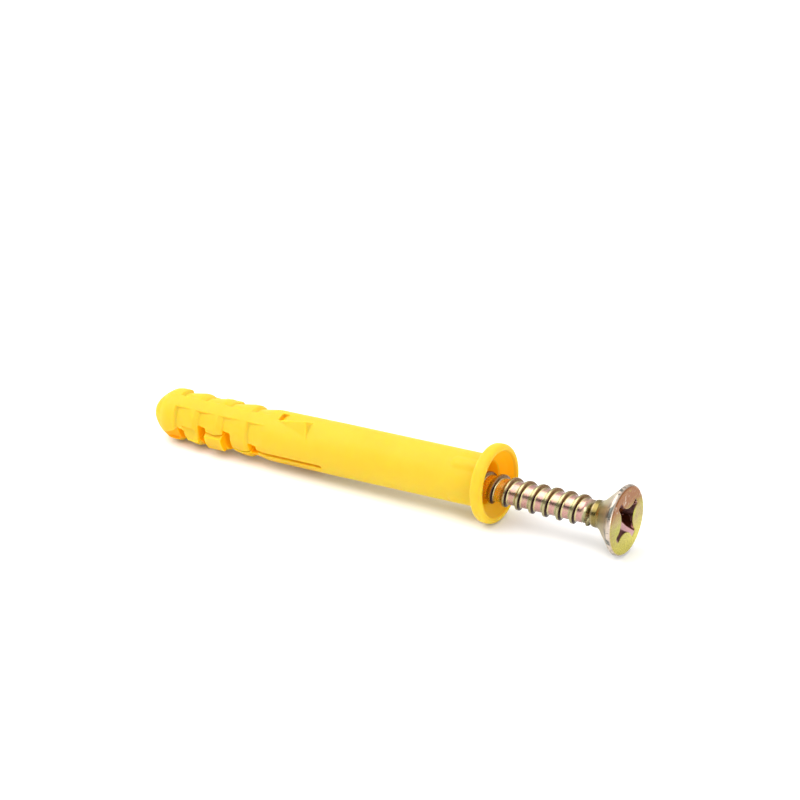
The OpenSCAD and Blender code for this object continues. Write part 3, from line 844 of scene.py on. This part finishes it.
class Graph:
    """The nodes of a material or of the world. Each method adds a node or two and gives the output."""

    def __init__(self, tree):
        self.tree = tree

    def node(self, kind):
        return self.tree.nodes.new("ShaderNode" + kind)

    def put(self, value, socket):
        """Links an output to a socket, or sets a plain value on it."""
        if isinstance(value, bpy.types.NodeSocket):
            self.tree.links.new(value, socket)
        elif socket.type == "RGBA":
            socket.default_value = (*value, 1)
        else:
            socket.default_value = value

    def math(self, operation, *values):
        n = self.node("Math")
        n.operation = operation
        for value, socket in zip(values, n.inputs):
            self.put(value, socket)
        return n.outputs[0]

    def times(self, first, *others):
        for other in others:
            first = self.math("MULTIPLY", first, other)
        return first

    def largest(self, first, *others):
        for other in others:
            first = self.math("MAXIMUM", first, other)
        return first

    def vector(self, operation, a, b):
        n = self.node("VectorMath")
        n.operation = operation
        self.put(a, n.inputs[0])
        self.put(b, n.inputs[1])
        return n.outputs["Value" if operation == "DOT_PRODUCT" else "Vector"]

    def span(self, value, low, high, start=0.0, end=1.0):
        """Goes from start to end while the value goes from low to high."""
        n = self.node("MapRange")
        self.put(value, n.inputs["Value"])
        for name, number in (("From Min", low), ("From Max", high), ("To Min", start), ("To Max", end)):
            n.inputs[name].default_value = number
        return n.outputs[0]

    def between(self, value, rise, fall):
        """1 where the value lies between two edges. Each edge is a pair (start, end)."""
        return self.times(self.span(value, *rise), self.span(value, *fall, 1, 0))

    def noise(self, where, scale, detail, rough, distortion=0.0):
        n = self.node("TexNoise")
        n.inputs["Scale"].default_value = scale
        n.inputs["Detail"].default_value = detail
        n.inputs["Roughness"].default_value = rough
        n.inputs["Distortion"].default_value = distortion
        self.put(where, n.inputs["Vector"])
        return n.outputs["Fac"]

    def ramp(self, value, stops):
        n = self.node("ValToRGB")
        elements = n.color_ramp.elements
        while len(elements) < len(stops):
            elements.new(0.5)
        for element, (position, colour) in zip(elements, stops):
            element.position = position
            element.color = (*colour, 1)
        self.put(value, n.inputs["Fac"])
        return n.outputs["Color"]

    def mix(self, share, a, b, blend="MIX"):
        n = self.node("Mix")
        n.data_type = "RGBA"
        n.blend_type = blend
        self.put(share, n.inputs["Factor"])
        self.put(a, n.inputs[6])
        self.put(b, n.inputs[7])
        return n.outputs[2]

    def bump(self, height, strength, distance):
        n = self.node("Bump")
        n.inputs["Strength"].default_value = strength
        n.inputs["Distance"].default_value = distance
        self.put(height, n.inputs["Height"])
        return n.outputs["Normal"]

    def normal_z(self):
        """How far the surface faces up (1) or down (-1)."""
        parts = self.node("SeparateXYZ")
        self.put(self.node("NewGeometry").outputs["Normal"], parts.inputs[0])
        return parts.outputs[2]


class Place:
    """Where a point lies in its piece's own frame, in mm, with the angle round the axis in radians."""

    def __init__(self, g, matrix):
        self.where = g.node("TexCoord").outputs["Object"]
        shifted = g.vector("SUBTRACT", self.where, tuple(matrix.translation * MM))
        ways = [g.vector("DOT_PRODUCT", shifted, tuple(matrix.col[k].to_3d())) for k in range(3)]
        self.x, self.y, self.depth = (g.times(way, 1 / MM) for way in ways)
        self.r = g.math("SQRT", g.math("ADD", g.times(self.x, self.x), g.times(self.y, self.y)))
        self.angle = g.math("ARCTAN2", self.y, self.x)


def material(name):
    """Empty material with its shader."""
    m = bpy.data.materials.new(name)
    m.use_nodes = True
    m.node_tree.nodes.clear()
    g = Graph(m.node_tree)
    out = g.node("OutputMaterial")
    bsdf = g.node("BsdfPrincipled")
    g.put(bsdf.outputs[0], out.inputs[0])
    return m, g, bsdf


def slit_frame(g, at):
    """Height beside the nearer slit's middle, counted the same way on both sides."""
    turn = math.radians(SLIT_ROLL)
    out = g.math("ADD", g.times(at.x, math.cos(turn)), g.times(at.y, math.sin(turn)))
    upward = g.math("SUBTRACT", g.times(at.y, math.cos(turn)), g.times(at.x, math.sin(turn)))
    return g.times(upward, g.math("SIGN", out))


def cavities_mask(g, depth, upward):
    """Where painted shade goes inside the cavities behind the teeth, up to their upper walls."""
    first_start, last_end = FACES[0] - CAVITY_LENGTH - 0.3, FACES[3] + 0.2
    in_first = g.span(depth, first_start, first_start + 0.1)
    in_last = g.span(depth, last_end, last_end + 0.1, 1, 0)
    height = g.math("MULTIPLY_ADD", g.largest(in_first, in_last), CAVITY_TOP - CAVITY_HIGH, upward)
    below_top = g.span(height, CAVITY_TOP + 0.02, CAVITY_TOP + 0.12, 1, 0)
    inside = 0.0
    for face in FACES:
        start = face - CAVITY_LENGTH
        one = g.between(depth, (start - 0.08, start + 0.02), (face + 0.05, face + 0.1))
        inside = g.largest(one, inside)
    return g.times(inside, below_top)


def groove_mask(g, at, upward):
    """Where painted shade goes inside the nose's groove, under its slanted upper edge."""
    slanted = g.math("MULTIPLY_ADD", at.depth, GROOVE_SLOPE, upward)
    top = GROOVE_TOP + GROOVE_SLOPE * FACES[0]
    groove = g.times(g.span(slanted, top, top + 0.1, 1, 0), g.span(at.r, *GROOVE_BED))
    groove = g.times(groove, g.between(at.depth, (FACES[0], FACES[0] + 0.1), GROOVE_PAINT_END))
    return g.times(groove, g.span(upward, GROOVE_LOW - 0.05, GROOVE_LOW + 0.05))


def slit_mask(g, depth, upward):
    """Where painted shade goes on the walls of the slit, and of the gap beside the tongue that stands
    proud.
    """
    slit = g.span(g.math("ABSOLUTE", upward), *SLIT_PAINT, 1, 0)
    slit = g.times(slit, g.between(depth, (SLIT_END - 0.05, SLIT_END + 0.05), (FACES[3] - 0.1, FACES[3])))
    above = g.math("ABSOLUTE", g.math("SUBTRACT", upward, TONGUE_HIGH - TONGUE_GAP / 2))
    along = g.math("ABSOLUTE", g.math("SUBTRACT", depth, FACES[2] + TONGUE_HALF - 0.05))
    gap = g.times(g.span(above, *GAP_PAINT, 1, 0), g.span(along, TONGUE_HALF, TONGUE_HALF + 0.05, 1, 0))
    return g.times(g.largest(slit, gap), SLIT_SHARE)


def notch_mask(g, at):
    """Where painted shade goes on the floor of the notch behind each fin."""
    end = NOTCH_START + NOTCH_LENGTH
    along = g.between(at.depth, (NOTCH_START, NOTCH_START + 0.6), (end + 0.05, end + 0.15))
    return g.times(along, g.span(at.r, *NOTCH_PAINT, NOTCH_SHARE, 0))


def mouth_mask(g, at):
    """Where painted shade goes inside the mouth, fainter at its lower wall, and on the ring of its lip."""
    mouth = g.span(at.r, MOUTH_R - 0.15, MOUTH_R + 0.1, 1, 0)
    mouth = g.times(mouth, g.between(at.depth, MOUTH_PAINT_START, MOUTH_PAINT_END))
    mouth = g.times(mouth, g.span(at.y, *MOUTH_LOWER_WALL, LIP_SHARE, 1))
    ring = g.span(at.r, MOUTH_R + 0.05, MOUTH_R + 0.45, 1, 0)
    ring = g.times(ring, g.span(at.depth, LIP_R, 0.5, LIP_SHARE, 0))
    return g.largest(mouth, ring)


def plastic_material():
    m, g, bsdf = material("moulded_yellow_plastic")
    at = Place(g, sleeve_matrix)
    cloudy = g.noise(at.where, PLASTIC_CLOUDS, 3, 0.55)
    fine_grain = g.noise(at.where, PLASTIC_GRAIN, 2, 0.6)
    wavy = g.noise(at.where, PLASTIC_WAVES, 2, 0.5)

    outside = g.ramp(cloudy, [(0.3, PLASTIC_LOW), (0.7, PLASTIC_HIGH)])
    # Painted shade: surfaces from the teeth to the nose that face down are mixed towards a deeper orange
    underside = g.times(g.span(g.normal_z(), *UNDERSIDE_NORMAL), g.span(at.depth, *UNDERSIDE_START))
    outside = g.mix(g.times(underside, UNDERSIDE_SHARE), outside, PLASTIC_UNDERSIDE_SHADE)

    # Painted shade: the bore, cavities, groove, slit, gap, notch and mouth get a deeper orange, the
    # groove's floor deeper still
    upward = slit_frame(g, at)
    groove = groove_mask(g, at, upward)
    above_low = g.span(upward, -CAVITY_LOW - 0.12, -CAVITY_LOW - 0.02)
    openings = g.times(above_low, g.largest(cavities_mask(g, at.depth, upward), groove))
    inside = g.largest(g.span(at.r, *HOLLOW_SHADE_RADII, 1, 0), openings, slit_mask(g, at.depth, upward),
                       notch_mask(g, at), mouth_mask(g, at))
    colour = g.mix(inside, outside, g.mix(groove, PLASTIC_HOLLOW_SHADE, PLASTIC_GROOVE_SHADE))
    # Painted glow: the hollows give off a faint orange light, brighter in the bore near the mouth
    glow = g.mix(g.span(at.depth, *BORE_GLOW_END, 1, 0), PLASTIC_GLOW, BORE_GLOW)

    g.put(g.mix(1.0, colour, (1 / GAIN,) * 3, "MULTIPLY"), bsdf.inputs["Base Color"])
    g.put(g.mix(inside, BLACK, glow), bsdf.inputs["Emission Color"])
    g.put(g.span(fine_grain, 0, 1, *PLASTIC_ROUGH), bsdf.inputs["Roughness"])
    relief = g.math("MULTIPLY_ADD", fine_grain, 0.25, wavy)
    g.put(g.bump(relief, 0.3, PLASTIC_RELIEF), bsdf.inputs["Normal"])
    bsdf.inputs["Emission Strength"].default_value = 1.0
    bsdf.inputs["Specular IOR Level"].default_value = PLASTIC_SHINE
    bsdf.inputs["Subsurface Weight"].default_value = SCATTER_SHARE
    bsdf.inputs["Subsurface Radius"].default_value = SCATTER_COLOUR
    bsdf.inputs["Subsurface Scale"].default_value = SCATTER_LENGTH
    bsdf.inputs["IOR"].default_value = PLASTIC_IOR
    return m


def share_of_pitch(edge):
    return edge[0] / PITCH, edge[1] / PITCH


def thread_colour(g, at, blotches):
    """Bands along the thread's section, with painted shade on the flank that faces the head, browner near
    the top, and pink and olive roots that get a painted yellow reflection of the sleeve near it.
    """
    pitches = (SCREW_LENGTH - THREAD_START) / PITCH
    turns = g.span(at.depth, SCREW_LENGTH - THREAD_START, 0, 0, pitches)
    turned_by = THREAD_TURN / 360
    swept = g.span(at.angle, -math.pi, math.pi, -0.5 - turned_by, 0.5 - turned_by)
    along = g.math("FRACT", g.math("SUBTRACT", turns, swept))
    bands = g.ramp(along, [(way / PITCH, colour) for way, colour in THREAD_BANDS])
    is_root = g.between(along, *(share_of_pitch(edge) for edge in ROOT_EDGES))
    is_flank = g.between(along, *(share_of_pitch(edge) for edge in FLANK_EDGES))
    # Painted shade on the flank that faces the head turns brown near the top
    bands = g.mix(g.times(is_flank, g.span(at.y, *FLANK_TOP_HEIGHT)), bands, FLANK_SHADE_TOP)
    root = g.mix(g.span(blotches, 0.5, 0.68), ROOT_PINK, ROOT_OLIVE)
    # Painted reflection: roots near and inside the sleeve's mouth turn deep yellow
    root = g.mix(g.span(at.depth, *SLEEVE_REFLECTION_START), root, ROOT_SLEEVE_REFLECTION)
    return g.mix(is_root, bands, root)


def head_colour(g, at, patches, blotches):
    """The head's face, from a lower part brightened with painted light to a pink upper one, and bands over
    its rim and cone.
    """
    along = g.span(at.depth, 0, HEAD_BANDS_END)
    bands = g.ramp(along, [(way / HEAD_BANDS_END, colour) for way, colour in HEAD_BANDS])
    face = g.mix(g.span(patches, 0.4, 0.62), FACE_LIME, FACE_OLIVE)
    # Painted light: the lower part of the face is mixed towards a brighter colour
    face = g.mix(g.span(at.y, *FACE_LOW_HEIGHT), face, FACE_LOW_PAINTED_LIGHT)
    upper = g.times(g.span(at.y, *FACE_PINK_HEIGHT), g.span(blotches, 0.2, 0.42, 0.4, 1))
    face = g.mix(upper, face, FACE_PINK)
    specks = g.times(g.span(at.y, *FACE_SPECK_HEIGHT), g.span(blotches, 0.60, 0.70, 0, 0.8))
    face = g.mix(specks, face, FACE_SPECK)
    colour = g.mix(g.span(at.depth, *FACE_EDGE), face, bands)
    streaks = g.times(g.span(blotches, 0.47, 0.57), g.between(at.depth, *STREAK_EDGES))
    return g.mix(streaks, colour, BAND_DARK)


def recess_colour(g, at, blotches):
    """Painted shade on the recess's walls, with painted glints on the ones that face up, in spots and along
    the edge.
    """
    spots = g.largest(g.span(blotches, 0.56, 0.62), g.span(g.normal_z(), 0.3, 0.6, 0, 0.9))
    edge = g.times(g.span(at.depth, *RECESS_EDGE), g.span(blotches, 0.42, 0.5))
    return g.mix(g.largest(spots, edge), RECESS_PAINTED_SHADE, RECESS_PAINTED_GLINT)


def zinc_material():
    m, g, bsdf = material("yellow_zinc_steel")
    at = Place(g, screw_matrix)
    patches = g.noise(at.where, ZINC_PATCHES, 4, 0.55, 0.6)
    blotches = g.noise(at.where, ZINC_BLOTCHES, 3, 0.6, 0.8)
    grain = g.noise(at.where, ZINC_GRAIN, 3, 0.6)

    head = head_colour(g, at, patches, blotches)
    colour = g.mix(g.span(at.depth, *THREAD_EDGE), head, thread_colour(g, at, blotches))
    cone = g.math("MULTIPLY_ADD", at.depth, RECESS_SLOPE, at.r)
    recess = g.times(g.span(cone, *RECESS_CONE, 1, 0), g.span(at.depth, *RECESS_START))
    # Painted shade and painted glints in the cross recess
    colour = g.mix(recess, colour, recess_colour(g, at, blotches))
    colour = g.mix(0.4, colour, g.ramp(grain, [(0.3, SPECKLE_DARK), (0.5, WHITE)]), "MULTIPLY")
    g.put(g.mix(1.0, colour, (1 / GAIN,) * 3, "MULTIPLY"), bsdf.inputs["Base Color"])

    dull = g.times(g.span(at.depth, *RIM_START), g.span(at.depth, *CONE_END, RIM_DULLNESS, 0))
    g.put(g.math("ADD", g.span(grain, 0, 1, *ZINC_ROUGH), dull), bsdf.inputs["Roughness"])
    g.put(g.bump(grain, 0.25, ZINC_RELIEF), bsdf.inputs["Normal"])
    bsdf.inputs["Metallic"].default_value = 1.0
    return m


sleeve.data.materials.clear()
sleeve.data.materials.append(plastic_material())
screw.data.materials.clear()
screw.data.materials.append(zinc_material())


# Floor, lights and camera

def pale_floor():
    m, g, bsdf = material("pale_floor")
    bsdf.inputs["Base Color"].default_value = (*FLOOR_COLOUR, 1)
    bsdf.inputs["Roughness"].default_value = 0.9
    bsdf.inputs["Specular IOR Level"].default_value = 0.2
    bpy.ops.mesh.primitive_plane_add(size=FLOOR_SIZE, location=(0, 0, FLOOR_HEIGHT))
    obj = bpy.context.object
    obj.name = "floor"
    obj.data.materials.append(m)
    return obj


def studio():
    """White walls, brighter above, with one dark gap."""
    world = bpy.data.worlds.new("studio")
    scene.world = world
    world.use_nodes = True
    g = Graph(world.node_tree)
    toward = g.node("TexCoord").outputs["Generated"]
    parts = g.node("SeparateXYZ")
    g.put(toward, parts.inputs[0])
    bright = g.span(parts.outputs[2], *WALL_HEIGHTS, WORLD_LOW, WORLD_HIGH)
    gap = g.span(g.vector("DOT_PRODUCT", toward, DARK_GAP), *DARK_GAP_EDGE, 1, DARK_GAP_STRENGTH)
    walls = world.node_tree.nodes["Background"]
    walls.inputs["Color"].default_value = (1, 1, 1, 1)
    g.put(g.times(bright, gap), walls.inputs["Strength"])


def lamp(name, place, size, watts):
    """Rectangular lamp that shines at the middle of the part."""
    data = bpy.data.lights.new(name, "AREA")
    data.shape = "RECTANGLE"
    data.size, data.size_y = size
    data.energy = watts
    obj = bpy.data.objects.new(name, data)
    scene.collection.objects.link(obj)
    obj.location = place
    obj.rotation_euler = (-Vector(place)).to_track_quat("-Z", "Y").to_euler()


def camera():
    az, el = math.radians(AZIMUTH), math.radians(ELEVATION)
    back = Vector((math.sin(az) * math.cos(el), -math.cos(az) * math.cos(el), math.sin(el)))
    right = Vector((math.cos(az), math.sin(az), 0))
    up = back.cross(right)
    data = bpy.data.cameras.new("camera")
    data.sensor_width = SENSOR
    data.lens = FOCAL_PX * SENSOR / PICTURE_PX
    data.clip_start = 0.01
    data.clip_end = 20
    obj = bpy.data.objects.new("camera", data)
    scene.collection.objects.link(obj)
    spot = (Vector(MOUTH) + right * AIM_RIGHT + up * AIM_UP + back * DISTANCE) * MM
    obj.matrix_world = Matrix((
        (right.x, up.x, back.x, spot.x),
        (right.y, up.y, back.y, spot.y),
        (right.z, up.z, back.z, spot.z),
        (0, 0, 0, 1)))
    return obj


pale_floor()
studio()
lamp("key", KEY_PLACE, KEY_SIZE, KEY_WATTS)
lamp("fill", FILL_PLACE, FILL_SIZE, FILL_WATTS)

scene.view_settings.view_transform = "Standard"
scene.view_settings.look = "None"
scene.view_settings.exposure = 0.0
scene.camera = camera()
